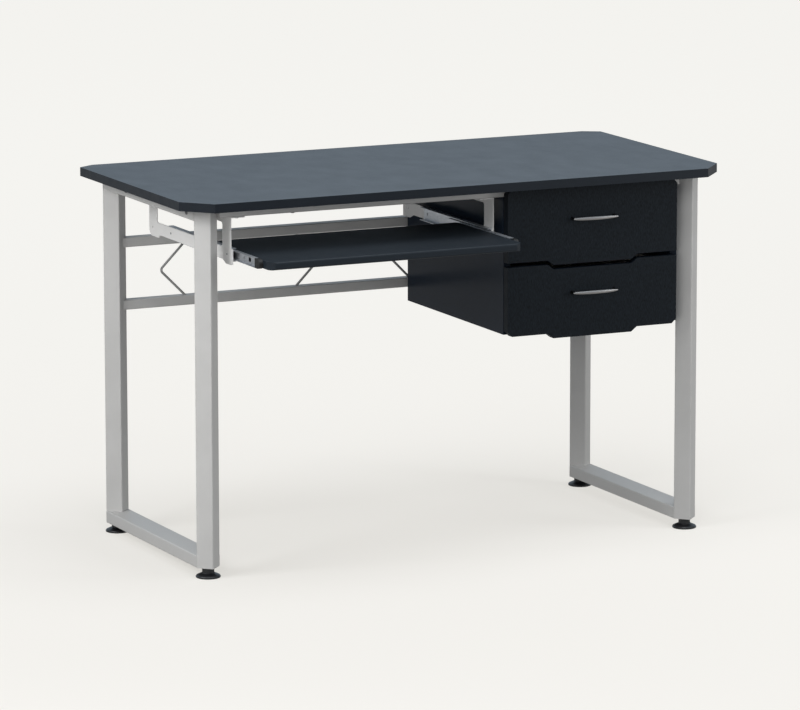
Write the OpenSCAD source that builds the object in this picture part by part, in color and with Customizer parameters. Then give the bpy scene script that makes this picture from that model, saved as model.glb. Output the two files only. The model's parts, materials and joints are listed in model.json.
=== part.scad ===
// Writing desk: a chamfered desktop on two tube-steel side frames, with a
// pull-out keyboard tray on the left and a hanging two-drawer pedestal on the right.
// Frame: origin on the floor at the centre of the footprint with the tray as it
// stands, +X to the sitter's right, +Y to the back, +Z up, millimetres.

/* [Desktop] */
// Width of the desktop
desk_w = 1200; // [1180:1:1230]
// Depth of the desktop
desk_d = 597; // [590:1:620]
// Height of the desktop's upper face above the floor
desk_h = 762; // [755:1:770]
// Thickness of the desktop board
top_t = 18; // [16:1:22]
// Front corner cut, along the front edge
front_cut_x = 52; // [30:1:60]
// Front corner cut, along the side edge
front_cut_y = 58; // [30:1:60]
// Back corner cut, along the back edge
back_cut_x = 35; // [20:1:40]
// Back corner cut, along the side edge
back_cut_y = 21; // [15:1:40]

/* [Steel frame] */
// Side of the square post tube, which stands turned by 45 degrees
post_w = 36; // [34:1:38]
// Corner radius of every frame tube
tube_r = 2.5; // [2:0.5:3]
// Wall of every frame tube
tube_wall = 1.5; // [1:0.1:1.8]
// Distance from the desktop's side edge to the post axis
post_side = 62; // [60:1:66]
// Distance from the desktop's front edge to the front post axis
post_front = 71.5; // [70:0.5:74]
// Distance from the desktop's back edge to the rear post axis
post_rear = 51.5; // [50:0.5:54]
// Width of the side rails, which run front to back
side_rail_w = 50; // [48:1:50]
// Height of the side rails
side_rail_h = 25; // [22:1:26]
// Depth of the cross rails, which run left to right
cross_rail_d = 25; // [20:1:26]
// Height of the cross rails
cross_rail_h = 20; // [18:1:20]
// Underside of the rear upper rail above the floor
rear_upper_z = 596; // [590:1:605]
// Underside of the rear lower rail above the floor
rear_lower_z = 466; // [460:1:475]
// Diameter of the bent wires between the rear rails
wire_d = 5; // [4:0.5:6]
// Height of the levelling feet below the frame
foot_h = 20.5; // [19:0.5:24]

/* [Keyboard tray] */
// Width of the tray board
tray_w = 550; // [540:1:555]
// Depth of the tray board
tray_d = 300; // [290:1:305]
// Thickness of the tray board
tray_t = 16; // [15:1:18]
// Upper face of the tray above the floor
tray_z = 656; // [652:1:660]
// How far the tray stands pulled out from its closed place
tray_pull = 132; // [60:1:150]
// X of the left bracket's inner face
bracket_left_x = -488; // [-492:1:-484]
// Thickness of the bracket's sheet steel
sheet_t = 2; // [1.5:0.5:2.5]

/* [Ball slides] */
// Distance that a slide fills between its two mounting faces
slide_t = 12.5; // [12:0.5:14]
// Height of a slide's fixed channel
slide_h = 27; // [25:1:27]

/* [Pedestal] */
// X of the pedestal's left face
ped_x = 110; // [105:1:112]
// Width of the pedestal
ped_w = 396; // [388:1:396]
// Width of the drawer fronts, flush with the pedestal's left face
front_w = 386; // [380:1:388]
// Thickness of the pedestal's panels
panel_t = 15; // [12:1:16]
// Thickness of the drawer fronts
front_t = 18; // [16:1:19]
// Height of the step in the drawer fronts' edges
front_step = 10; // [6:1:12]
// Gap between the two drawer fronts
front_gap = 9; // [6:1:10]
// How far a handle stands out from its drawer front
handle_out = 21; // [18:1:26]
// Length of a handle
handle_w = 107; // [104:1:120]

/* [Hidden] */
$fn = 48;

// Colours
top_grey = "#4c545d";
board_black = "#23282d";
steel_grey = "#a9a9a7";
zinc = "#c4c6c8";
plastic_black = "#161617";
liner_white = "#cfccc4";

// Radial clearance of a screw in its hole
hole_gap = 0.15;

// Desktop and frame, measured from the desktop's centre
under_z = desk_h - top_t;
post_x = desk_w / 2 - post_side;
post_front_y = post_front - desk_d / 2;
post_rear_y = desk_d / 2 - post_rear;
side_rail_l = post_rear_y - post_front_y;
side_rail_in = post_x - side_rail_w / 2;
cross_z = under_z - cross_rail_h;

// Tray brackets: one stamping, turned end for end on the right
bracket_l = 416;
bracket_mid_y = post_front_y - cross_rail_d / 2 - 0.5 + bracket_l / 2;
bracket_web_z = 636;
bracket_window = [335, 48.5];
bracket_window_z = 660.5;
bracket_tab = 39;
tray_span = tray_w + 2 * slide_t;
bracket_right_x = bracket_left_x + tray_span;
rear_cross_y = bracket_mid_y + bracket_l / 2 - bracket_tab / 2 - 1;
plate_l = 60;
plate_t = 3;
bolt_reach = 35;

// Tray and its slides
tray_closed_front = 268.5;
tray_front_y = -tray_closed_front - tray_pull;
tray_x = bracket_left_x + slide_t;
slide_z = tray_z - tray_t / 2;
channel_front_y = bracket_mid_y - bracket_l / 2 + sheet_t;
channel_l = 318;
runner_l = 290;
bumper_l = 23;
runner_front_y = tray_front_y + 57;
tray_cage_l = 86;
tray_cage_y = -189;
rivet_ys = [-222, 63];
tray_screw_ys = [66, 180];
tray_slot_y = 40;

// The footprint runs from the tray's front edge to the desktop's back edge
footprint_shift = -(tray_front_y + desk_d / 2) / 2;

// Slide profile, from the fixed face towards the moving one
channel_skin = 1.2;
channel_lip = 1;
runner_h = 19.2;
runner_from = 3.9;
cage_from = 2.1;
cage_to = 9;
cage_skin = 0.8;
ball_r = 1.15;

// Pedestal and drawers
ped_front_y = -242;
ped_back_y = 210;
ped_z = 442;
front_face_y = ped_front_y - 2 - front_t;
front_top_z = under_z - 6;
front_split_z = 582;
front_low_z = 440;
step_from = 91;
step_run = 13;
top_corner_cut = 6;
low_corner_cut = 10;
box_w = ped_w - 2 * panel_t - 2 * slide_t;
box_x = ped_x + panel_t + slide_t;
box_h = 108;
box_l = 400;
box_t = 12;
box_front_y = front_face_y + front_t;
base_t = 4;
base_up = 10;
groove = 6;
upper_box_z = 604;
lower_box_z = 462;
cabinet_channel_y = ped_front_y + 4;
drawer_cage_l = 96;
drawer_cage_y = -86;
drawer_screw_ys = [60, 330];
handle_mid_x = ped_x + front_w / 2;
handle_drop = 60;
upper_handle_z = under_z - 10 - handle_drop;
lower_handle_z = front_split_z - handle_drop;
handle_h = 8.8;
handle_t = 4;
handle_post = 96;

// Moves a piece from the desktop-centred layout into the part's own frame
module placed() {
    translate([0, footprint_shift, 0]) children();
}

// Flat shapes -------------------------------------------------------------

module rounded_rect(w, d, r) {
    square([w - 2 * r, d], center = true);
    square([w, d - 2 * r], center = true);
    for (x = [-1, 1], y = [-1, 1])
        translate([x * (w / 2 - r), y * (d / 2 - r)]) circle(r = r);
}

module tube_section(w, d) {
    difference() {
        rounded_rect(w, d, tube_r);
        rounded_rect(w - 2 * tube_wall, d - 2 * tube_wall, tube_r - tube_wall);
    }
}

// Frame members -----------------------------------------------------------

module tube_along_x(l, d, h) {
    rotate([90, 0, 90]) linear_extrude(l, center = true) tube_section(d, h);
}

module tube_along_y(l, w, h) {
    rotate([90, 0, 0]) linear_extrude(l, center = true) tube_section(w, h);
}

module at_post(side, y) {
    translate([side * post_x, y, foot_h]) rotate([0, 0, 45]) children();
}

module post(side, y) {
    at_post(side, y) linear_extrude(under_z - foot_h) tube_section(post_w, post_w);
}

// The room that the posts take out of the rails that meet them
module post_room(side, y) {
    at_post(side, y)
        linear_extrude(under_z - foot_h) rounded_rect(post_w, post_w, tube_r);
}

module side_rail(side, z) {
    difference() {
        translate([side * post_x, (post_front_y + post_rear_y) / 2, z + side_rail_h / 2])
            tube_along_y(side_rail_l, side_rail_w, side_rail_h);
        post_room(side, post_front_y);
        post_room(side, post_rear_y);
    }
}

module top_side_rail(side) {
    difference() {
        side_rail(side, under_z - side_rail_h);
        bolt_holes();
    }
}

module rear_rail(z) {
    difference() {
        translate([0, post_rear_y, z + cross_rail_h / 2])
            tube_along_x(2 * post_x, cross_rail_d, cross_rail_h);
        post_room(-1, post_rear_y);
        post_room(1, post_rear_y);
    }
}

// Places of the four bolts that hold the cross rails' end plates
module at_bolts() {
    for (side = [-1, 1], y = [post_front_y, rear_cross_y - 2 * bolt_reach])
        translate([side * (post_x + side_rail_w / 2), y + bolt_reach, cross_z + cross_rail_h / 2 - 2])
            rotate([0, side * -90, 0]) children();
}

module bolt_holes() {
    at_bolts() translate([0, 0, -1]) cylinder(h = side_rail_w + plate_t + 2, r = 3 + hole_gap);
}

// A cross rail under the desktop with an end plate towards end_dir at both ends
module cross_rail(y, end_dir) {
    difference() {
        union() {
            translate([0, y, cross_z + cross_rail_h / 2])
                tube_along_x(2 * (side_rail_in - plate_t), cross_rail_d, cross_rail_h);
            for (side = [-1, 1])
                translate([
                    side * (side_rail_in - plate_t / 2),
                    y + end_dir * (plate_l - cross_rail_d) / 2,
                    cross_z + cross_rail_h / 2
                ])
                    cube([plate_t, plate_l, cross_rail_h], center = true);
        }
        bolt_holes();
        desktop_screw_holes();
        bracket_screw_holes();
    }
}

// Bent wire between the rear rails; its point faces along dir
module v_wire(end_x, dir) {
    low = rear_lower_z + cross_rail_h;
    half = (rear_upper_z - low) / 2;
    bend = 8;
    lap = 2;
    reach = half * sqrt(2) + lap;
    translate([end_x, post_rear_y, low + half])
        intersection() {
            translate([-100, -20, -half]) cube([200, 40, 2 * half]);
            union() {
                for (s = [-1, 1])
                    translate([dir * (half - bend / sqrt(2)), 0, s * bend / sqrt(2)])
                        rotate([0, s == 1 ? dir * -45 : 180 + dir * 45, 0])
                            translate([0, 0, -lap]) cylinder(h = reach, d = wire_d);
                translate([dir * (half - bend * sqrt(2)), 0, 0])
                    rotate([90, dir == 1 ? 45 : 225, 0])
                        rotate_extrude(angle = 90) translate([bend, 0]) circle(d = wire_d);
            }
        }
}

// Plastic plug in the post's lower end, with the foot's threaded hole
module post_insert() {
    difference() {
        linear_extrude(22) rounded_rect(post_w - 2 * tube_wall, post_w - 2 * tube_wall, tube_r - tube_wall);
        translate([0, 0, -1]) cylinder(h = 24, r = 4.3);
    }
}

module foot(side, y) {
    neck_z = 10;
    neck_r = 12.4;
    translate([side * post_x, y, 0]) {
        rotate_extrude() polygon([
            [0, 0], [24, 0], [25, 1], [25, 3], [23.5, 5], [19, 7.2], [14.2, 9], [13.4, neck_z], [0, neck_z]
        ]);
        translate([0, 0, neck_z - 1])
            rotate([0, 0, 15]) cylinder(h = foot_h - 0.3 - neck_z + 1, r = neck_r, $fn = 12);
        translate([0, 0, neck_z]) cylinder(h = 36, r = 4);
    }
}

// Desktop -----------------------------------------------------------------

module desktop_outline() {
    w = desk_w / 2;
    d = desk_d / 2;
    polygon([
        [-w + front_cut_x, -d], [w - front_cut_x, -d], [w, -d + front_cut_y], [w, d - back_cut_y],
        [w - back_cut_x, d], [-w + back_cut_x, d], [-w, d - back_cut_y], [-w, -d + front_cut_y]
    ]);
}

module at_desktop_screws() {
    for (x = [-350, -60, 300], y = [post_front_y, rear_cross_y])
        translate([x, y, cross_z]) children();
}

module desktop_screw_holes() {
    at_desktop_screws() translate([0, 0, -1]) cylinder(h = 1 + cross_rail_h + 12, r = 2.2 + hole_gap);
}

// Tray brackets -----------------------------------------------------------

// Local frame: inner face at x = 0, inwards is +X, y = 0 at mid length
module bracket() {
    half = bracket_l / 2;
    hole_ys = [-half + 18, -95, 95, half - 18];
    lobe_z = bracket_web_z - 7.5;
    lug_top = bracket_web_z + 24;
    heel_z = bracket_web_z - 6.5;
    difference() {
        union() {
            translate([-sheet_t, 0, 0]) rotate([90, 0, 90]) linear_extrude(sheet_t) polygon([
                [-half, cross_z], [-half, lobe_z], [24 - half, lobe_z], [42 - half, bracket_web_z],
                [half - 56, bracket_web_z], [half - 49.5, heel_z], [half - 10, heel_z],
                [half, heel_z + 10], [half, cross_z]
            ]);
            for (end = [-1, 1])
                translate([0, end * (half - bracket_tab / 2), cross_z - sheet_t / 2])
                    cube([58, bracket_tab, sheet_t], center = true);
            for (lug = [[-1, lobe_z], [1, heel_z + 10]])
                translate([-3.5, lug[0] * (half - sheet_t / 2) - sheet_t / 2, lug[1]])
                    cube([7, sheet_t, lug_top - lug[1]]);
        }
        translate([-50 - sheet_t, 0, 0]) cube([100, 2 * bracket_l, 4 * cross_z], center = true);
        translate([-10, 0, bracket_window_z + bracket_window[1] / 2])
            rotate([90, 0, 90]) linear_extrude(20) rounded_rect(bracket_window[0], bracket_window[1], 6);
        for (y = hole_ys)
            translate([-10, y, slide_z]) rotate([0, 90, 0]) cylinder(h = 20, r = 1.9 + hole_gap);
    }
}

module at_bracket_screws() {
    for (x = [bracket_left_x + 17, bracket_right_x - 17], y = [post_front_y, rear_cross_y])
        translate([x, y, cross_z]) children();
}

module bracket_screw_holes() {
    at_bracket_screws() translate([0, 0, -5]) cylinder(h = 16, r = 2.2 + hole_gap);
}

// Ball slides -------------------------------------------------------------
// Local frame: fixed mounting face at x = 0, moving mounting face at x = slide_t,
// front end at y = 0, middle height at z = 0

module slide_box(from, to, l, h) {
    translate([from, 0, -h / 2]) cube([to - from, l, h]);
}

// Holes across a slide member's web, at the given distances from its front end
module web_holes(ys, r) {
    for (y = ys) translate([-1, y, 0]) rotate([0, 90, 0]) cylinder(h = slide_t + 2, r = r);
}

module channel(l, screw_ys) {
    difference() {
        slide_box(0, slide_t - 1.5, l, slide_h);
        translate([0, -1, 0]) slide_box(channel_skin, slide_t, l + 2, slide_h - 2 * channel_lip);
        web_holes(screw_ys, 1.9 + hole_gap);
    }
}

module runner(l, screw_ys, slot_y) {
    difference() {
        slide_box(runner_from, slide_t, l, runner_h);
        translate([0, -1, 0])
            slide_box(runner_from - 1, slide_t - channel_skin, l + 2, runner_h - 2 * channel_lip);
        web_holes(screw_ys, 1.8 + hole_gap);
        translate([0, slot_y, 0]) rotate([90, 0, 90]) linear_extrude(slide_t + 1) {
            square([3, 9], center = true);
            for (s = [-1, 1]) translate([s * 1.5, 0]) circle(d = 9);
        }
    }
}

// Ball retainer, with its balls as bumps in both tracks
module cage(l) {
    strip = slide_h / 2 - channel_lip - runner_h / 2;
    track_z = runner_h / 2 + strip / 2;
    difference() {
        slide_box(cage_from, cage_to, l, 2 * (track_z + 0.75));
        translate([0, -1, 0])
            slide_box(cage_from + cage_skin, cage_to + 1, l + 2, 2 * (track_z - 0.75));
    }
    for (s = [-1, 1], y = [8 : 10 : l - 6])
        translate([6, y, s * track_z]) sphere(r = ball_r);
}

// Puts a slide member on the tray's left or right bracket, front end at y
module on_bracket(side, y) {
    x = side == -1 ? bracket_left_x : bracket_right_x;
    translate([x, y, slide_z]) mirror([side == 1 ? 1 : 0, 0, 0]) children();
}

// Puts a slide member beside a drawer box whose underside is at z
module in_pedestal(side, y, z) {
    x = side == -1 ? ped_x + panel_t : ped_x + ped_w - panel_t;
    translate([x, y, z + box_h / 2]) mirror([side == 1 ? 1 : 0, 0, 0]) children();
}

// Tray --------------------------------------------------------------------

module tray_board() {
    difference() {
        intersection() {
            translate([tray_x, tray_front_y + tray_d / 2, tray_z - tray_t / 2])
                rotate([90, 0, 90]) linear_extrude(tray_w) rounded_rect(tray_d, tray_t, 4);
            translate([tray_x + tray_w / 2, tray_front_y + tray_d / 2, tray_z - 2 * tray_t])
                linear_extrude(3 * tray_t) rounded_rect(tray_w, tray_d, 16);
        }
        for (side = [-1, 1])
            on_bracket(side, runner_front_y) {
                translate([slide_t + 1, 0, 0]) web_holes(tray_screw_ys, 1.8 + hole_gap);
                translate([slide_t - 1, tray_slot_y, 0]) rotate([0, 90, 0]) cylinder(h = 15, r = 6.5);
            }
    }
}

module bumper() {
    nose = runner_h / 2;
    intersection() {
        translate([4, -bumper_l, -nose]) cube([slide_t - 4, bumper_l, 2 * nose]);
        union() {
            translate([0, nose - bumper_l, 0]) rotate([0, 90, 0]) cylinder(h = slide_t, r = nose);
            translate([0, nose - bumper_l, -nose]) cube([slide_t, bumper_l, 2 * nose]);
        }
    }
}

// Pedestal ----------------------------------------------------------------

// Both sides reach the desktop, so the cross rails pass through notches in them
module pedestal_side(x) {
    side = x == ped_x ? -1 : 1;
    difference() {
        translate([x, ped_front_y, ped_z])
            cube([panel_t, ped_back_y - ped_front_y, under_z - ped_z]);
        for (y = [post_front_y, rear_cross_y])
            translate([x - 1, y - cross_rail_d / 2 - 3, cross_z - 0.5])
                cube([panel_t + 2, cross_rail_d + 4, cross_rail_h + 1]);
        for (z = [upper_box_z, lower_box_z])
            in_pedestal(side, cabinet_channel_y, z)
                translate([-11, 0, 0]) web_holes(drawer_screw_ys, 1.9 + hole_gap);
    }
}

// Drawers -----------------------------------------------------------------

// The stepped edge, from left to right, that drops in its middle
function stepped_edge(z) = [
    [0, z], [step_from, z], [step_from + step_run, z - front_step],
    [front_w - step_from - step_run, z - front_step], [front_w - step_from, z], [front_w, z]
];

function backwards(points) = [for (i = [len(points) - 1 : -1 : 0]) points[i]];

upper_front_shape = concat(
    stepped_edge(front_split_z + front_gap),
    [[front_w, front_top_z - top_corner_cut], [front_w - top_corner_cut, front_top_z],
     [top_corner_cut, front_top_z], [0, front_top_z - top_corner_cut]]
);

lower_front_shape = concat(
    [[0, front_low_z + low_corner_cut], [low_corner_cut, front_low_z]],
    [for (i = [1 : 4]) stepped_edge(front_low_z)[i]],
    [[front_w - low_corner_cut, front_low_z], [front_w, front_low_z + low_corner_cut]],
    backwards(stepped_edge(front_split_z))
);

module drawer_front(shape, handle_z) {
    difference() {
        translate([ped_x, front_face_y + front_t, 0]) rotate([90, 0, 0]) linear_extrude(front_t) polygon(shape);
        at_handle_posts(handle_z) translate([0, 0, -front_t - 1]) cylinder(h = front_t + 2, r = 2 + hole_gap);
    }
}

// Groove that holds a drawer's base board
module base_room(z) {
    translate([box_x + box_t - groove, box_front_y - 1, z + base_up])
        cube([box_w - 2 * box_t + 2 * groove, box_l + 1 - groove, base_t]);
}

module drawer_side(side, z) {
    difference() {
        translate([side == -1 ? box_x : box_x + box_w - box_t, box_front_y, z])
            cube([box_t, box_l, box_h]);
        base_room(z);
        in_pedestal(side, box_front_y + 2, z)
            translate([slide_t + 1, 0, 0]) web_holes(drawer_screw_ys, 1.8 + hole_gap);
    }
}

module drawer_back(z) {
    difference() {
        translate([box_x + box_t, box_front_y + box_l - box_t, z])
            cube([box_w - 2 * box_t, box_t, box_h]);
        base_room(z);
    }
}

module drawer_base(z) {
    translate([box_x + box_t - groove, box_front_y, z + base_up])
        cube([box_w - 2 * box_t + 2 * groove, box_l - groove, base_t]);
}

// Places of a handle's two posts, with +Z along the screw towards the handle
module at_handle_posts(z) {
    for (s = [-1, 1])
        translate([handle_mid_x + s * handle_post / 2, front_face_y, z]) rotate([90, 0, 0]) children();
}

// Bow pull: a shallow arched bar, slimmer at both ends, on two short posts
module handle(z) {
    rise = 5;
    arc_r = (pow(handle_w / 2, 2) + rise * rise) / (2 * rise);
    taper_r = 300;
    difference() {
        union() {
            translate([handle_mid_x, front_face_y - handle_out, z])
                intersection() {
                    translate([0, arc_r, -handle_h]) difference() {
                        cylinder(h = 2 * handle_h, r = arc_r, $fn = 240);
                        translate([0, 0, -1]) cylinder(h = 2 * handle_h + 2, r = arc_r - handle_t, $fn = 240);
                    }
                    translate([0, 30, 0]) rotate([90, 0, 0]) linear_extrude(60) intersection() {
                        square([handle_w, handle_h], center = true);
                        translate([0, 6.2 - taper_r]) circle(r = taper_r, $fn = 240);
                        translate([0, taper_r - 6.2]) circle(r = taper_r, $fn = 240);
                    }
                }
            at_handle_posts(z) cylinder(h = handle_out - 7, r = 3.6);
        }
        at_handle_posts(z) translate([0, 0, -1]) cylinder(h = 7, r = 2 + hole_gap);
    }
}

// Fasteners: each is drawn with its head's bearing face at z = 0, shank along +Z

module screw(shank_r, l, head_r, head_h) {
    difference() {
        rotate_extrude() polygon([
            [0, -head_h], [0.8 * head_r, -head_h], [head_r, -0.3 * head_h], [head_r, 0], [shank_r, 0],
            [shank_r, l], [0, l]
        ]);
        translate([0, 0, -head_h - 1]) cylinder(h = 1 + head_h * 0.6, r = 0.38 * head_r, $fn = 6);
    }
}

module drawer_screws(z, handle_z) {
    for (side = [-1, 1])
        in_pedestal(side, box_front_y + 2, z) runner_screws(drawer_screw_ys);
    at_handle_posts(handle_z) translate([0, 0, -front_t]) screw(2, front_t + 5, 4, 2.4);
}

// Screws from inside a runner into the board beside it
module runner_screws(ys) {
    for (y = ys)
        translate([slide_t - channel_skin, y, 0]) rotate([0, 90, 0]) screw(1.8, 11, 3.2, 1.4);
}

// Screws from inside a channel into the panel behind it
module channel_screws(ys, l) {
    for (y = ys)
        translate([channel_skin, y, 0]) rotate([0, -90, 0]) screw(1.9, l, 3.2, 0.6);
}

// Nodes -------------------------------------------------------------------

module desktop() {
    color(top_grey) placed() difference() {
        translate([0, 0, under_z]) linear_extrude(top_t) desktop_outline();
        desktop_screw_holes();
    }
}

module left_front_post() { color(steel_grey) placed() post(-1, post_front_y); }
module left_rear_post() { color(steel_grey) placed() post(-1, post_rear_y); }
module right_front_post() { color(steel_grey) placed() post(1, post_front_y); }
module right_rear_post() { color(steel_grey) placed() post(1, post_rear_y); }
module left_bottom_rail() { color(steel_grey) placed() side_rail(-1, foot_h); }
module right_bottom_rail() { color(steel_grey) placed() side_rail(1, foot_h); }
module left_top_rail() { color(steel_grey) placed() top_side_rail(-1); }
module right_top_rail() { color(steel_grey) placed() top_side_rail(1); }
module front_rail() { color(steel_grey) placed() cross_rail(post_front_y, 1); }
module rear_cross_rail() { color(steel_grey) placed() cross_rail(rear_cross_y, -1); }
module rear_upper_rail() { color(steel_grey) placed() rear_rail(rear_upper_z); }
module rear_lower_rail() { color(steel_grey) placed() rear_rail(rear_lower_z); }

module left_outer_wire() { color(steel_grey) placed() v_wire(-383, -1); }
module left_inner_wire() { color(steel_grey) placed() v_wire(-130, 1); }
module right_inner_wire() { color(steel_grey) placed() v_wire(130, -1); }
module right_outer_wire() { color(steel_grey) placed() v_wire(383, 1); }

module post_inserts() {
    color(plastic_black) placed()
        for (side = [-1, 1], y = [post_front_y, post_rear_y]) at_post(side, y) post_insert();
}

module left_front_foot() { color(plastic_black) placed() foot(-1, post_front_y); }
module left_rear_foot() { color(plastic_black) placed() foot(-1, post_rear_y); }
module right_front_foot() { color(plastic_black) placed() foot(1, post_front_y); }
module right_rear_foot() { color(plastic_black) placed() foot(1, post_rear_y); }

module keyboard_tray() { color(board_black) placed() tray_board(); }

module left_tray_bracket() {
    color(steel_grey) placed() difference() {
        translate([bracket_left_x, bracket_mid_y, 0]) bracket();
        bracket_screw_holes();
    }
}

module right_tray_bracket() {
    color(steel_grey) placed() difference() {
        translate([bracket_right_x, bracket_mid_y, 0]) rotate([0, 0, 180]) bracket();
        bracket_screw_holes();
    }
}

module tray_channel(side) {
    color(zinc) placed() on_bracket(side, channel_front_y)
        channel(channel_l, [for (y = rivet_ys) y - channel_front_y]);
}
module left_tray_channel() { tray_channel(-1); }
module right_tray_channel() { tray_channel(1); }

module tray_runner(side) {
    color(zinc) placed() on_bracket(side, runner_front_y) runner(runner_l, tray_screw_ys, tray_slot_y);
}
module left_tray_runner() { tray_runner(-1); }
module right_tray_runner() { tray_runner(1); }

module tray_ball_cages() {
    color(plastic_black) placed()
        for (side = [-1, 1]) on_bracket(side, tray_cage_y) cage(tray_cage_l);
}

module tray_bumpers() {
    color(plastic_black) placed()
        for (side = [-1, 1]) on_bracket(side, runner_front_y) bumper();
}

module pedestal_left_side() { color(board_black) placed() pedestal_side(ped_x); }
module pedestal_right_side() { color(board_black) placed() pedestal_side(ped_x + ped_w - panel_t); }

module pedestal_back() {
    color(board_black) placed()
        translate([ped_x + panel_t, ped_back_y - panel_t, ped_z])
            cube([ped_w - 2 * panel_t, panel_t, under_z - ped_z]);
}

module pedestal_bottom() {
    color(board_black) placed()
        translate([ped_x + panel_t, ped_front_y, ped_z])
            cube([ped_w - 2 * panel_t, ped_back_y - panel_t - ped_front_y, panel_t]);
}

// Steel angles that hang the pedestal from the desktop
module pedestal_angles() {
    leg = 24;
    color(zinc) placed()
        for (side = [-1, 1], y = [-180, 90])
            in_pedestal(side, y, under_z - box_h / 2) difference() {
                translate([0, 0, -leg]) cube([leg, 30, leg]);
                translate([sheet_t, -1, -leg - sheet_t]) cube([leg, 32, leg]);
            }
}

module upper_drawer_front() { color(board_black) placed() drawer_front(upper_front_shape, upper_handle_z); }
module upper_drawer_left_side() { color(liner_white) placed() drawer_side(-1, upper_box_z); }
module upper_drawer_right_side() { color(liner_white) placed() drawer_side(1, upper_box_z); }
module upper_drawer_back() { color(liner_white) placed() drawer_back(upper_box_z); }
module upper_drawer_bottom() { color(liner_white) placed() drawer_base(upper_box_z); }
module upper_drawer_handle() { color(zinc) placed() handle(upper_handle_z); }

module lower_drawer_front() { color(board_black) placed() drawer_front(lower_front_shape, lower_handle_z); }
module lower_drawer_left_side() { color(liner_white) placed() drawer_side(-1, lower_box_z); }
module lower_drawer_right_side() { color(liner_white) placed() drawer_side(1, lower_box_z); }
module lower_drawer_back() { color(liner_white) placed() drawer_back(lower_box_z); }
module lower_drawer_bottom() { color(liner_white) placed() drawer_base(lower_box_z); }
module lower_drawer_handle() { color(zinc) placed() handle(lower_handle_z); }

module cabinet_channels() {
    color(zinc) placed()
        for (side = [-1, 1], z = [upper_box_z, lower_box_z])
            in_pedestal(side, cabinet_channel_y, z) channel(box_l, drawer_screw_ys);
}

module drawer_runners(z) {
    color(zinc) placed()
        for (side = [-1, 1]) in_pedestal(side, box_front_y + 2, z) runner(box_l - 2, drawer_screw_ys, 20);
}
module upper_drawer_runners() { drawer_runners(upper_box_z); }
module lower_drawer_runners() { drawer_runners(lower_box_z); }

module drawer_cages(z) {
    color(plastic_black) placed()
        for (side = [-1, 1]) in_pedestal(side, drawer_cage_y, z) cage(drawer_cage_l);
}
module upper_ball_cages() { drawer_cages(upper_box_z); }
module lower_ball_cages() { drawer_cages(lower_box_z); }

module frame_bolts() {
    color(plastic_black) placed() at_bolts() screw(3, side_rail_w + plate_t + 2, 4.4, 2.4);
}

module desktop_screws() {
    color(zinc) placed() at_desktop_screws() screw(2.2, cross_rail_h + 11, 4.5, 2.4);
}

module bracket_screws() {
    color(zinc) placed() at_bracket_screws() translate([0, 0, -sheet_t]) screw(2.2, 12, 4.5, 2.4);
}

module slide_screws() {
    color(zinc) placed() {
        for (side = [-1, 1])
            on_bracket(side, 0) channel_screws(rivet_ys, channel_skin + sheet_t + 0.8);
        for (side = [-1, 1], z = [upper_box_z, lower_box_z])
            in_pedestal(side, cabinet_channel_y, z) channel_screws(drawer_screw_ys, 11);
    }
}

module tray_screws() {
    color(zinc) placed()
        for (side = [-1, 1]) on_bracket(side, runner_front_y) runner_screws(tray_screw_ys);
}

module upper_drawer_screws() { color(zinc) placed() drawer_screws(upper_box_z, upper_handle_z); }
module lower_drawer_screws() { color(zinc) placed() drawer_screws(lower_box_z, lower_handle_z); }

desktop();
left_front_post();
left_rear_post();
right_front_post();
right_rear_post();
left_bottom_rail();
right_bottom_rail();
left_top_rail();
right_top_rail();
front_rail();
rear_cross_rail();
rear_upper_rail();
rear_lower_rail();
left_outer_wire();
left_inner_wire();
right_inner_wire();
right_outer_wire();
post_inserts();
left_front_foot();
left_rear_foot();
right_front_foot();
right_rear_foot();
keyboard_tray();
left_tray_bracket();
right_tray_bracket();
left_tray_channel();
right_tray_channel();
left_tray_runner();
right_tray_runner();
tray_ball_cages();
tray_bumpers();
pedestal_left_side();
pedestal_right_side();
pedestal_back();
pedestal_bottom();
pedestal_angles();
upper_drawer_front();
upper_drawer_left_side();
upper_drawer_right_side();
upper_drawer_back();
upper_drawer_bottom();
upper_drawer_handle();
lower_drawer_front();
lower_drawer_left_side();
lower_drawer_right_side();
lower_drawer_back();
lower_drawer_bottom();
lower_drawer_handle();
cabinet_channels();
upper_drawer_runners();
lower_drawer_runners();
upper_ball_cages();
lower_ball_cages();
frame_bolts();
desktop_screws();
bracket_screws();
slide_screws();
tray_screws();
upper_drawer_screws();
lower_drawer_screws();
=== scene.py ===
import json
import math

import bmesh
import bpy
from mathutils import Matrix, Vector


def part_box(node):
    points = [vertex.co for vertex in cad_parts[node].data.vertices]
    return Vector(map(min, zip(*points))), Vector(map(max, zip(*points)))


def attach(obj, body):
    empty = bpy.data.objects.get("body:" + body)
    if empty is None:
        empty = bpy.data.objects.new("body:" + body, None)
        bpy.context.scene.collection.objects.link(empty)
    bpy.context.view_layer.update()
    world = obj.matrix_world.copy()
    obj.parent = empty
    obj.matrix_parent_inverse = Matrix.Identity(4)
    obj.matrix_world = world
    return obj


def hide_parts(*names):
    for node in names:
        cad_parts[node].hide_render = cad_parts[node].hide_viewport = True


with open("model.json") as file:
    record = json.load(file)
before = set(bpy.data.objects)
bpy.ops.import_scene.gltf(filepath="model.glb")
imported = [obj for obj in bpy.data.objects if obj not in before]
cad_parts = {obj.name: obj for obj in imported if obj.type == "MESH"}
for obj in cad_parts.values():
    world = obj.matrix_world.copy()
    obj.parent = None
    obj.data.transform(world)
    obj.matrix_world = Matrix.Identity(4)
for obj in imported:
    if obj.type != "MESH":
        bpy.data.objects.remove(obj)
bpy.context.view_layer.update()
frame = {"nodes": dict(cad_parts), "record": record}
MM = 0.001
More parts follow.
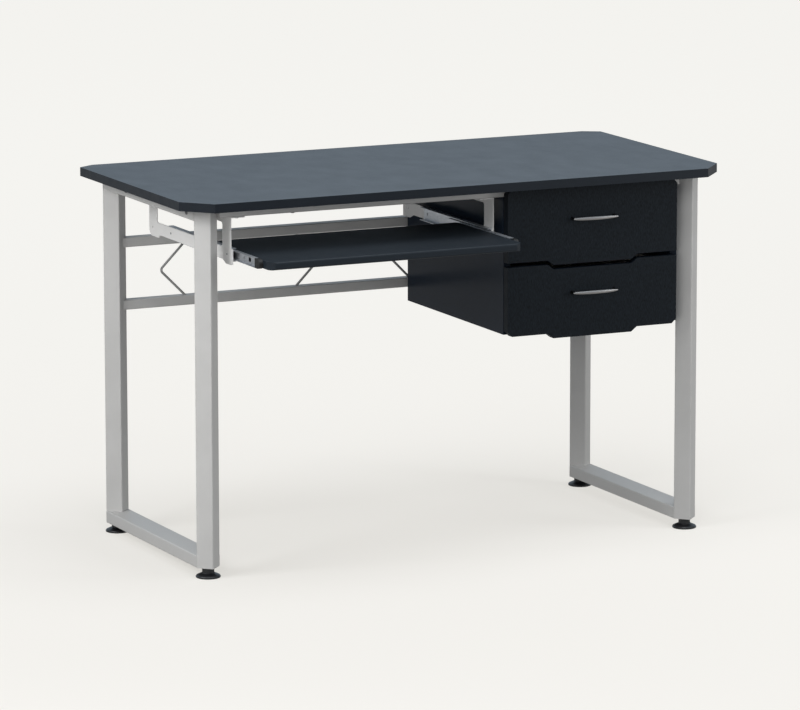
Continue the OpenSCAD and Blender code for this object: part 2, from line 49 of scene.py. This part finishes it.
BODY_OF = {
    node: body
    for body, nodes in frame["record"]["behaviour"]["bodies"].items()
    for node in nodes
}
SLOT_OF = {row["node"]: row["material_slot"] for row in frame["record"]["subparts"]}


# Camera --------------------------------------------------------------------

def make_camera(at, heading, pitch, roll, lens, shift):
    """A long lens at the place that gives the desk its real proportions; angles in degrees."""
    data = bpy.data.cameras.new("camera")
    data.lens = lens
    data.shift_x, data.shift_y = shift
    data.clip_end = 200
    camera = bpy.data.objects.new("camera", data)
    camera.location = at
    camera.rotation_euler = [math.radians(a) for a in (90 - pitch, roll, -heading)]
    bpy.context.scene.collection.objects.link(camera)
    bpy.context.scene.camera = camera


make_camera(
    at=(-4.6130, -9.6908, 2.3589), heading=25.211, pitch=10.389, roll=0.093,
    lens=239.31, shift=(0.01253, -0.0081),
)


# Shader nodes --------------------------------------------------------------

def put(tree, node, socket, value):
    """Links a socket to another, or sets its number or colour."""
    if isinstance(value, bpy.types.NodeSocket):
        tree.links.new(value, node.inputs[socket])
    else:
        node.inputs[socket].default_value = value


def add_node(tree, kind, inputs, **settings):
    """A node with those settings, and with its inputs linked or set by name or number."""
    node = tree.nodes.new(kind)
    for name, value in settings.items():
        setattr(node, name, value)
    for socket, value in inputs.items():
        put(tree, node, socket, value)
    return node


# Materials -----------------------------------------------------------------

class Finish:
    """A procedural material, laid out in the part's own coordinates in metres."""

    def __init__(self, name, roughness, metallic=0.0, specular=0.5):
        self.material = bpy.data.materials.new(name)
        self.material.use_nodes = True
        self.tree = self.material.node_tree
        self.shader = self.tree.nodes["Principled BSDF"]
        self.set("Roughness", roughness)
        self.set("Metallic", metallic)
        self.set("Specular IOR Level", specular)
        self.set("IOR", 1.5)
        self.place = self.add("ShaderNodeTexCoord", {}).outputs["Object"]

    def add(self, kind, inputs, **settings):
        return add_node(self.tree, kind, inputs, **settings)

    def set(self, socket, value):
        put(self.tree, self.shader, socket, value)

    def scaled(self, stretch):
        """The coordinates, with the pattern on them stretched by a factor along each axis."""
        scale = [1 / s for s in stretch]
        return self.add("ShaderNodeMapping", {"Vector": self.place, "Scale": scale}).outputs["Vector"]

    def noise(self, size, stretch=(1, 1, 1), detail=2.0, roughness=0.5):
        """Cloudy noise from 0 to 1, with features of about that size in metres."""
        node = self.add("ShaderNodeTexNoise", {
            "Vector": self.scaled(stretch), "Scale": 1 / size, "Detail": detail, "Roughness": roughness,
        })
        return node.outputs["Fac"]

    def cells(self, size, stretch=(1, 1, 1)):
        """Distance from the nearest of scattered points, for specks and flecks."""
        node = self.add("ShaderNodeTexVoronoi", {"Vector": self.scaled(stretch), "Scale": 1 / size})
        return node.outputs["Distance"]

    def span(self, value, low, high, to_low=0.0, to_high=1.0):
        """value mapped from low..high to to_low..to_high, and held there."""
        node = self.add("ShaderNodeMapRange", {
            "Value": value, "From Min": low, "From Max": high, "To Min": to_low, "To Max": to_high,
        })
        return node.outputs["Result"]

    def product(self, a, b):
        return self.add("ShaderNodeMath", {0: a, 1: b}, operation="MULTIPLY").outputs["Value"]

    def blend(self, share, a, b):
        """Colour a with colour b over it, by share."""
        # Inputs 6 and 7 and output 2 are the node's colour sockets
        node = self.add("ShaderNodeMix", {"Factor": share, 6: a, 7: b}, data_type="RGBA")
        return node.outputs[2]

    def relief(self, height, depth, under=None):
        """Bump of that depth in metres, laid over an earlier one."""
        inputs = {"Height": height, "Distance": depth}
        if under is not None:
            inputs["Normal"] = under
        return self.add("ShaderNodeBump", inputs).outputs["Normal"]


def rgb(r, g, b):
    """A linear colour from three shares of 255 as they look on a screen."""
    return [(c / 255) ** 2.2 for c in (r, g, b)] + [1.0]


def shaded(colour, factor):
    """The colour made darker, or lighter by a factor over 1."""
    return [c * factor for c in colour[:3]] + [1.0]


def laminate(name, colour, grain=(1, 1, 1), gloss=0.42, specular=0.35, contrast=1.0):
    """Melamine paper on board: fine pearl grain, faint clouds and a pressed texture."""
    f = Finish(name, gloss, specular=specular)
    fine = f.noise(1.1 * MM, grain, detail=3)
    clouds = f.noise(0.16, detail=3)
    specks = f.span(f.cells(2.6 * MM, grain), 0.0, 0.32, 1.0, 0.0)
    swing = 0.16 * contrast
    tone = f.blend(f.span(fine, 0.32, 0.68), shaded(colour, 1 - swing), shaded(colour, 1 + swing))
    tone = f.blend(f.product(specks, 0.22 * contrast), tone, shaded(colour, 1.7))
    tone = f.blend(f.span(clouds, 0.35, 0.65, 0.0, 0.1), tone, shaded(colour, 0.85))
    f.set("Base Color", tone)
    smears = f.noise(0.05, (1, 1.6, 1), detail=4, roughness=0.6)
    f.set("Roughness", f.span(smears, 0.3, 0.7, gloss - 0.02, gloss + 0.03))
    pressed = f.relief(f.noise(2.4 * MM, grain, detail=2), 0.06 * MM)
    f.set("Normal", f.relief(fine, 0.035 * MM, pressed))
    return f.material


def edge_band(name, colour, gloss=0.4, specular=0.35):
    """Plastic strip glued round a board: finely streaked, and worn pale in places."""
    f = Finish(name, gloss, specular=specular)
    streaks = f.noise(9 * MM, (3, 3, 0.4), detail=3)
    tone = f.blend(f.span(streaks, 0.35, 0.65), shaded(colour, 0.93), shaded(colour, 1.07))
    rub = f.noise(0.03, detail=5, roughness=0.65)
    tone = f.blend(f.span(rub, 0.60, 0.78, 0.0, 0.18), tone, shaded(colour, 1.9))
    f.set("Base Color", tone)
    f.set("Roughness", f.span(rub, 0.3, 0.7, gloss - 0.04, gloss + 0.07))
    f.set("Normal", f.relief(streaks, 0.03 * MM))
    return f.material


def powder_coat(name, colour, gloss=0.45):
    """Stoved polyester powder on steel: orange peel, metallic flecks and light handling marks."""
    f = Finish(name, gloss, specular=0.5)
    peel = f.noise(1.6 * MM, detail=2)
    flecks = f.span(f.cells(0.7 * MM), 0.0, 0.28, 1.0, 0.0)
    clouds = f.noise(0.09, detail=4, roughness=0.6)
    tone = f.blend(f.span(clouds, 0.35, 0.65), shaded(colour, 0.97), shaded(colour, 1.03))
    tone = f.blend(f.product(flecks, 0.25), tone, shaded(colour, 1.25))
    marks = f.span(f.noise(0.012, (1, 1, 3), detail=6, roughness=0.7), 0.66, 0.80, 0.0, 0.22)
    tone = f.blend(marks, tone, shaded(colour, 0.72))
    f.set("Base Color", tone)
    f.set("Roughness", f.span(clouds, 0.3, 0.7, gloss - 0.05, gloss + 0.06))
    f.set("Normal", f.relief(peel, 0.05 * MM))
    return f.material


def zinc_plate(name, colour, along=(1, 9, 1), gloss=0.3):
    """Rolled steel with bright zinc: draw lines along the strip and cloudy plating."""
    f = Finish(name, gloss, metallic=1.0)
    lines = f.noise(1.2 * MM, along, detail=4, roughness=0.6)
    bloom = f.noise(0.018, detail=5, roughness=0.65)
    tone = f.blend(f.span(lines, 0.3, 0.7), shaded(colour, 0.86), shaded(colour, 1.08))
    tone = f.blend(f.span(bloom, 0.45, 0.75, 0.0, 0.3), tone, shaded(colour, 0.68))
    f.set("Base Color", tone)
    f.set("Roughness", f.span(bloom, 0.3, 0.7, gloss - 0.07, gloss + 0.14))
    f.set("Normal", f.relief(lines, 0.02 * MM))
    return f.material


def satin_metal(name, colour, gloss=0.26):
    """Cast handle metal: a fine blasted and plated skin with cloudy patches of wear."""
    f = Finish(name, gloss, metallic=1.0)
    grit = f.noise(0.35 * MM, detail=2)
    wear = f.noise(0.014, detail=4, roughness=0.6)
    tone = f.blend(f.span(grit, 0.3, 0.7), shaded(colour, 0.93), shaded(colour, 1.05))
    f.set("Base Color", f.blend(f.span(wear, 0.4, 0.7, 0.0, 0.2), tone, shaded(colour, 0.82)))
    f.set("Roughness", f.span(wear, 0.3, 0.7, gloss - 0.05, gloss + 0.08))
    f.set("Normal", f.relief(grit, 0.008 * MM))
    return f.material


def moulded(name, colour, gloss=0.5):
    """Injection-moulded plastic: spark-eroded texture with scuffs and a little dust."""
    f = Finish(name, gloss, specular=0.45)
    erosion = f.noise(0.5 * MM, detail=2)
    scuffs = f.noise(0.006, (2.5, 1, 1), detail=6, roughness=0.7)
    tone = f.blend(f.span(erosion, 0.3, 0.7), shaded(colour, 0.85), shaded(colour, 1.15))
    f.set("Base Color", f.blend(f.span(scuffs, 0.58, 0.75, 0.0, 0.12), tone, rgb(120, 118, 114)))
    f.set("Roughness", f.span(scuffs, 0.35, 0.7, gloss - 0.06, gloss + 0.15))
    f.set("Normal", f.relief(erosion, 0.03 * MM))
    return f.material


def foiled_board(name, colour):
    """Drawer board wrapped in printed paper foil with a faint linen weave."""
    f = Finish(name, 0.55, specular=0.3)
    warp = f.noise(0.9 * MM, (1, 1, 12), detail=2)
    weft = f.noise(0.9 * MM, (1, 12, 1), detail=2)
    linen = f.product(warp, weft)
    tone = f.blend(f.span(linen, 0.14, 0.38), shaded(colour, 0.90), shaded(colour, 1.05))
    stain = f.noise(0.06, detail=4, roughness=0.6)
    f.set("Base Color", f.blend(f.span(stain, 0.5, 0.75, 0.0, 0.12), tone, shaded(colour, 0.75)))
    f.set("Roughness", f.span(stain, 0.3, 0.7, 0.5, 0.62))
    f.set("Normal", f.relief(linen, 0.04 * MM))
    return f.material


SLATE = rgb(38, 43, 49)
BLACK_SLATE = rgb(26, 30, 34)
SILVER_GREY = rgb(193, 192, 190)

top_face = laminate("desktop laminate", SLATE, gloss=0.42, specular=0.52, contrast=1.6)
top_edge = edge_band("desktop edge band", rgb(27, 32, 38), gloss=0.45, specular=0.2)
# The tray's laminate is the black slate painted 1.7 times as light, as painted light for the shade
# under the desktop
tray_face_lightened = laminate("tray laminate", shaded(BLACK_SLATE, 1.7), gloss=0.6, specular=0.15)
tray_edge = edge_band("tray edge band", rgb(31, 37, 43), gloss=0.5, specular=0.2)
pedestal_face = laminate(
    "pedestal laminate", rgb(38, 46, 57), gloss=0.2, specular=0.05, contrast=0.7,
)
pedestal_edge = edge_band("pedestal edge band", rgb(25, 31, 39), gloss=0.45, specular=0.06)
front_face = laminate(
    "drawer front laminate", shaded(BLACK_SLATE, 1.08), grain=(1, 1, 6),
    gloss=0.46, specular=0.1, contrast=4.0,
)
front_edge = edge_band("drawer front edge band", rgb(23, 28, 34), gloss=0.5, specular=0.08)
frame_paint = powder_coat("frame powder coat", SILVER_GREY)
# The wires get the frame's grey painted 0.62 times as dark, as painted shade
wire_paint_shaded = powder_coat("wire powder coat", shaded(SILVER_GREY, 0.62))
# The brackets' coat is painted lighter than the frame's grey, as painted light for the shade they hang
# in
bracket_paint = powder_coat("bracket powder coat", rgb(226, 225, 223), gloss=0.42)
slide_zinc = zinc_plate("slide zinc plate", rgb(196, 198, 202), gloss=0.42)
cage_steel = zinc_plate("ball cage steel", rgb(140, 142, 144), gloss=0.36)
screw_zinc = zinc_plate("screw zinc plate", rgb(150, 152, 154), along=(1, 1, 1), gloss=0.45)
bolt_black = moulded("black oxide bolt", rgb(88, 88, 90), gloss=0.45)
foot_black = moulded("foot plastic", rgb(26, 26, 28), gloss=0.36)
insert_black = moulded("insert plastic", rgb(32, 32, 33))
bumper_black = moulded("bumper plastic", rgb(12, 12, 13), gloss=0.6)
drawer_foil = foiled_board("drawer foil", rgb(196, 193, 186))
drawer_edge = edge_band("drawer board edge", rgb(188, 184, 176), gloss=0.5)
handle_metal = satin_metal("handle metal", rgb(140, 138, 137), gloss=0.45)
# The handle posts are painted near-black, as painted shade between the bow and the drawer front
post_metal_shade = satin_metal("handle post metal", rgb(34, 34, 35), gloss=0.6)

SLOT_FINISH = {
    "frame_paint": frame_paint, "bracket_paint": bracket_paint, "slide_zinc": slide_zinc,
    "cage_steel": cage_steel, "screw_zinc": screw_zinc, "bolt_black": bolt_black,
    "foot_plastic": foot_black, "insert_plastic": insert_black, "bumper_plastic": bumper_black,
}

# Width of the rounding on the edges of the metal and plastic pieces that get one
ROUNDING = {
    "frame_paint": 0.35 * MM, "bracket_paint": 0.3 * MM,
    "slide_zinc": 0.15 * MM, "foot_plastic": 0.4 * MM,
}


# Mesh helpers --------------------------------------------------------------

WELD = 0.005 * MM  # Points closer than this are one
FLAT = math.radians(0.6)  # Faces that meet at less than this are one flat face
BEVELLED = math.radians(30)  # Edges sharper than this are rounded
CREASED = math.radians(50)  # Edges sharper than this stay sharp in the shading
FACING = 0.95  # How squarely a face of a board looks along an axis to count as laminated


def smooth_mesh(name, bm):
    """Turns a bmesh into a mesh that is shaded smooth between its creases."""
    mesh = bpy.data.meshes.new(name)
    bm.to_mesh(mesh)
    bm.free()
    mesh.shade_smooth()
    mesh.set_sharp_from_angle(angle=CREASED)
    return mesh


def add_piece(name, mesh, body, slot, *replaced):
    """Makes an object of a mesh, hangs it on its body and hides the CAD nodes that it replaces."""
    piece = bpy.data.objects.new(name, mesh)
    bpy.context.scene.collection.objects.link(piece)
    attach(piece, body)
    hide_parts(*replaced)
    return piece


def welded_copy(node):
    """The CAD node's shape with its split points joined and its flat faces whole."""
    bm = bmesh.new()
    bm.from_mesh(frame["nodes"][node].data)
    bmesh.ops.remove_doubles(bm, verts=bm.verts, dist=WELD)
    bmesh.ops.dissolve_limit(bm, angle_limit=FLAT, verts=bm.verts, edges=bm.edges)
    return bm


def rounded_piece(node, width):
    """Stands a copy of a CAD node in its place, with its sharp edges rounded by width."""
    bm = welded_copy(node)
    edges = [e for e in bm.edges if len(e.link_faces) == 2 and e.calc_face_angle(0) > BEVELLED]
    bmesh.ops.bevel(
        bm, geom=edges, offset=width, offset_type="OFFSET", segments=2, profile=0.5,
        affect="EDGES", clamp_overlap=True, harden_normals=False,
    )
    bmesh.ops.triangulate(bm, faces=[f for f in bm.faces if len(f.verts) > 4])
    name = node + "_finished"
    piece = add_piece(name, smooth_mesh(name, bm), BODY_OF[node], SLOT_OF[node], node)
    normals = piece.modifiers.new("flat faces stay flat", "WEIGHTED_NORMAL")
    normals.weight = 100
    normals.keep_sharp = True
    return piece


def finished_board(node, face_axis, face, edge, width=0.6 * MM):
    """A board with rounded edges, its two large faces laminated and the rest edge-banded."""
    piece = rounded_piece(node, width)
    piece.data.materials.append(face)
    piece.data.materials.append(edge)
    for polygon in piece.data.polygons:
        polygon.material_index = 0 if abs(polygon.normal[face_axis]) > FACING else 1


def repaint(node, material):
    """Gives a CAD node its finish."""
    slots = frame["nodes"][node].data.materials
    slots.clear()
    slots.append(material)


# Pieces --------------------------------------------------------------------

def make_boards():
    X, Y, Z = range(3)
    finished_board("desktop", Z, top_face, top_edge, width=0.9 * MM)
    finished_board("keyboard_tray", Z, tray_face_lightened, tray_edge)
    for side in ("pedestal_left_side", "pedestal_right_side"):
        finished_board(side, X, pedestal_face, pedestal_edge)
    finished_board("pedestal_back", Y, pedestal_face, pedestal_edge)
    finished_board("pedestal_bottom", Z, pedestal_face, pedestal_edge)
    for drawer in ("upper_drawer_", "lower_drawer_"):
        finished_board(drawer + "front", Y, front_face, front_edge, width=0.9 * MM)
        for side in ("left_side", "right_side"):
            finished_board(drawer + side, X, drawer_foil, drawer_edge, width=0.4 * MM)
        finished_board(drawer + "back", Y, drawer_foil, drawer_edge, width=0.4 * MM)
        finished_board(drawer + "bottom", Z, drawer_foil, drawer_edge, width=0.2 * MM)


def tube_of_rings(bm, rings):
    """Joins rings of points, each a list of the same length, into a closed tube."""
    rows = [[bm.verts.new(point) for point in ring] for ring in rings]
    for one, two in zip(rows, rows[1:]):
        for k in range(len(one)):
            bm.faces.new((one[k], one[k - 1], two[k - 1], two[k]))
    bm.faces.new(rows[0])
    bm.faces.new(reversed(rows[-1]))


def round_the_circle(count):
    """Angles of that many evenly spaced points."""
    return [math.tau * k / count for k in range(count)]


def bow_handle(node):
    """A slim bow with a crowned face that tapers to its ends, on two posts that flare out."""
    low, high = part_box(node)
    mid = (low + high) / 2
    half_length = 0.95 * (high.x - low.x) / 2
    rise = 5 * MM
    bend_radius = (half_length * half_length + rise * rise) / (2 * rise)
    set_back = 2.1 * MM

    def bow_y(x):
        """Y of the bow's middle line, at a distance x from the handle's middle."""
        return low.y + set_back + bend_radius - math.sqrt(bend_radius * bend_radius - x * x)

    bm = bmesh.new()
    steps = 24  # From the middle to each end, closer together near the ends
    rings = []
    for i in range(2 * steps + 1):
        x = half_length * math.sin((i / steps - 1) * math.pi / 2)
        fullness = max(0.0, 1 - (x / half_length) ** 2) ** 0.4
        tall = (0.5 + 3.1 * fullness) * MM
        deep = (0.4 + 1.7 * fullness) * MM
        rings.append([
            (mid.x + x, bow_y(x) - deep * math.cos(a), mid.z + tall * math.sin(a))
            for a in round_the_circle(20)
        ])
    tube_of_rings(bm, rings)
    bow_faces = len(bm.faces)

    post_x = 48 * MM
    reach = (high.y - bow_y(post_x)) / MM
    # Radius and distance out from the drawer front, in millimetres
    profile = [(3.6, 0.0), (3.6, 0.6), (3.1, 1.2), (2.7, 3.0), (2.6, 6.0), (2.0, reach)]
    for side in (-1, 1):
        tube_of_rings(bm, [
            [
                (mid.x + side * post_x + radius * MM * math.cos(a), high.y - out * MM,
                 mid.z + radius * MM * math.sin(a))
                for a in round_the_circle(24)
            ]
            for radius, out in profile
        ])
    bmesh.ops.recalc_face_normals(bm, faces=bm.faces)
    name = node + "_finished"
    mesh = smooth_mesh(name, bm)
    mesh.materials.append(handle_metal)
    # The posts take the near-black metal, which is painted shade
    mesh.materials.append(post_metal_shade)
    for polygon in mesh.polygons:
        polygon.material_index = 1 if polygon.index >= bow_faces else 0
    add_piece(name, mesh, BODY_OF[node], SLOT_OF[node], node)


def make_fittings():
    for node in ("upper_drawer_handle", "lower_drawer_handle"):
        bow_handle(node)
    for node, slot in SLOT_OF.items():
        if slot in ROUNDING:
            # The wires take the darker coat, which is painted shade
            finish = wire_paint_shaded if node.endswith("_wire") else SLOT_FINISH[slot]
            rounded_piece(node, ROUNDING[slot]).data.materials.append(finish)
        elif slot in SLOT_FINISH:
            repaint(node, SLOT_FINISH[slot])


make_boards()
make_fittings()


# Studio --------------------------------------------------------------------

PAPER = rgb(244, 243, 239)  # The background that the camera sees
SKY = (0.74, 0.885, 1.02, 1)  # What shiny faces mirror
DAYLIGHT = (0.93, 0.97, 1.0, 1)  # What lights the scene from all round

# The light of these lamps on this floor, as a pool that fades with distance from its middle.
# It was fitted to them, so it has to be fitted again when a lamp, the world or the floor changes.
POOL_MIDDLE = (-2.47, -0.48, 0)
POOL_TURN = (0, 0, -0.2)
POOL_REACH = (21.72, 8.74, 1)
POOL_FALLOFF = 3.11
POOL_PEAK = 0.4
POOL_EVERYWHERE = 0.079
POOL_TINT = (0.978, 1.0, 1.012)


def seen_strength(tree, to_camera, to_gloss):
    """A strength for what the camera sees and what shiny faces mirror, and 0 for other rays."""
    path = add_node(tree, "ShaderNodeLightPath", {})
    total = 0.0
    for ray, strength in (("Is Camera Ray", to_camera), ("Is Glossy Ray", to_gloss)):
        inputs = {0: path.outputs[ray], 1: strength, 2: total}
        total = add_node(tree, "ShaderNodeMath", inputs, operation="MULTIPLY_ADD").outputs[0]
    return total


def evened_paper(tree):
    """The glow that makes up the paper colour wherever the lamps light the floor less."""
    place = add_node(tree, "ShaderNodeTexCoord", {})
    spot = add_node(tree, "ShaderNodeMapping", {
        "Vector": place.outputs["Object"],
        "Location": POOL_MIDDLE, "Rotation": POOL_TURN, "Scale": POOL_REACH,
    }, vector_type="TEXTURE")
    falloff = add_node(
        tree, "ShaderNodeTexGradient", {"Vector": spot.outputs["Vector"]}, gradient_type="SPHERICAL",
    )
    curve = add_node(
        tree, "ShaderNodeMath", {0: falloff.outputs["Fac"], 1: POOL_FALLOFF}, operation="POWER",
    )
    lamps = add_node(tree, "ShaderNodeMath", {
        0: curve.outputs[0], 1: POOL_PEAK, 2: POOL_EVERYWHERE,
    }, operation="MULTIPLY_ADD")
    rest = add_node(tree, "ShaderNodeVectorMath", {
        0: lamps.outputs[0], 1: [-share for share in POOL_TINT], 2: PAPER[:3],
    }, operation="MULTIPLY_ADD")
    return rest.outputs[0]


def make_floor(albedo, to_gloss):
    """A pale floor that shows soft shadows on an even background."""
    bm = bmesh.new()
    bmesh.ops.create_grid(bm, x_segments=8, y_segments=8, size=60)
    mesh = bpy.data.meshes.new("floor")
    bm.to_mesh(mesh)
    bm.free()
    floor = bpy.data.objects.new("floor", mesh)
    bpy.context.scene.collection.objects.link(floor)
    material = bpy.data.materials.new("floor")
    material.use_nodes = True
    tree = material.node_tree
    shader = tree.nodes["Principled BSDF"]
    put(tree, shader, "Base Color", (albedo, albedo, albedo, 1))
    put(tree, shader, "Roughness", 0.9)
    put(tree, shader, "Specular IOR Level", 0.0)
    put(tree, shader, "Emission Color", evened_paper(tree))
    put(tree, shader, "Emission Strength", seen_strength(tree, 1.0, to_gloss))
    mesh.materials.append(material)


def make_world(to_gloss, to_all):
    """Even light from all round, cooler in reflections, and paper past the edge of the floor."""
    world = bpy.data.worlds.new("studio")
    world.use_nodes = True
    tree = world.node_tree
    path = add_node(tree, "ShaderNodeLightPath", {})
    light = tree.nodes["Background"]
    put(tree, light, "Color", DAYLIGHT)
    put(tree, light, "Strength", to_all)
    shown = light.outputs[0]
    for ray, colour, strength in (
        ("Is Glossy Ray", SKY, to_gloss),
        ("Is Camera Ray", PAPER, 1.0),
    ):
        other = add_node(tree, "ShaderNodeBackground", {"Color": colour, "Strength": strength})
        inputs = {0: path.outputs[ray], 1: shown, 2: other.outputs[0]}
        shown = add_node(tree, "ShaderNodeMixShader", inputs).outputs[0]
    tree.links.new(shown, tree.nodes["World Output"].inputs["Surface"])
    bpy.context.scene.world = world


def softbox(name, at, aim, size, power):
    """A rectangular lamp that the camera doesn't see, turned towards aim; power in watts."""
    lamp = bpy.data.lights.new(name, "AREA")
    lamp.shape = "RECTANGLE"
    lamp.size, lamp.size_y = size
    lamp.energy = power
    light = bpy.data.objects.new(name, lamp)
    light.location = at
    light.rotation_euler = (Vector(aim) - Vector(at)).to_track_quat("-Z", "Y").to_euler()
    light.visible_camera = False
    bpy.context.scene.collection.objects.link(light)


def make_studio():
    make_floor(albedo=0.32, to_gloss=0.55)
    make_world(to_gloss=0.69, to_all=0.22)
    softbox("left softbox", at=(-2.8, -0.6, 1.9), aim=(-0.3, 0, 0.3), size=(1.5, 1.3), power=48)
    softbox("low softbox", at=(-2.2, -2.6, 0.8), aim=(-0.2, 0, 0.5), size=(1.4, 1.2), power=14)
    softbox("front softbox", at=(-1.2, -3.4, 3.2), aim=(0, 0, 0.4), size=(2.0, 2.0), power=39)
    softbox("right softbox", at=(2.3, -1.7, 1.0), aim=(0.5, 0, 0.4), size=(0.8, 0.9), power=18.5)
    softbox("top softbox", at=(0.3, -0.6, 3.2), aim=(0, 0, 0.5), size=(2.2, 1.8), power=44)
    bpy.context.scene.view_settings.view_transform = "Standard"


make_studio()
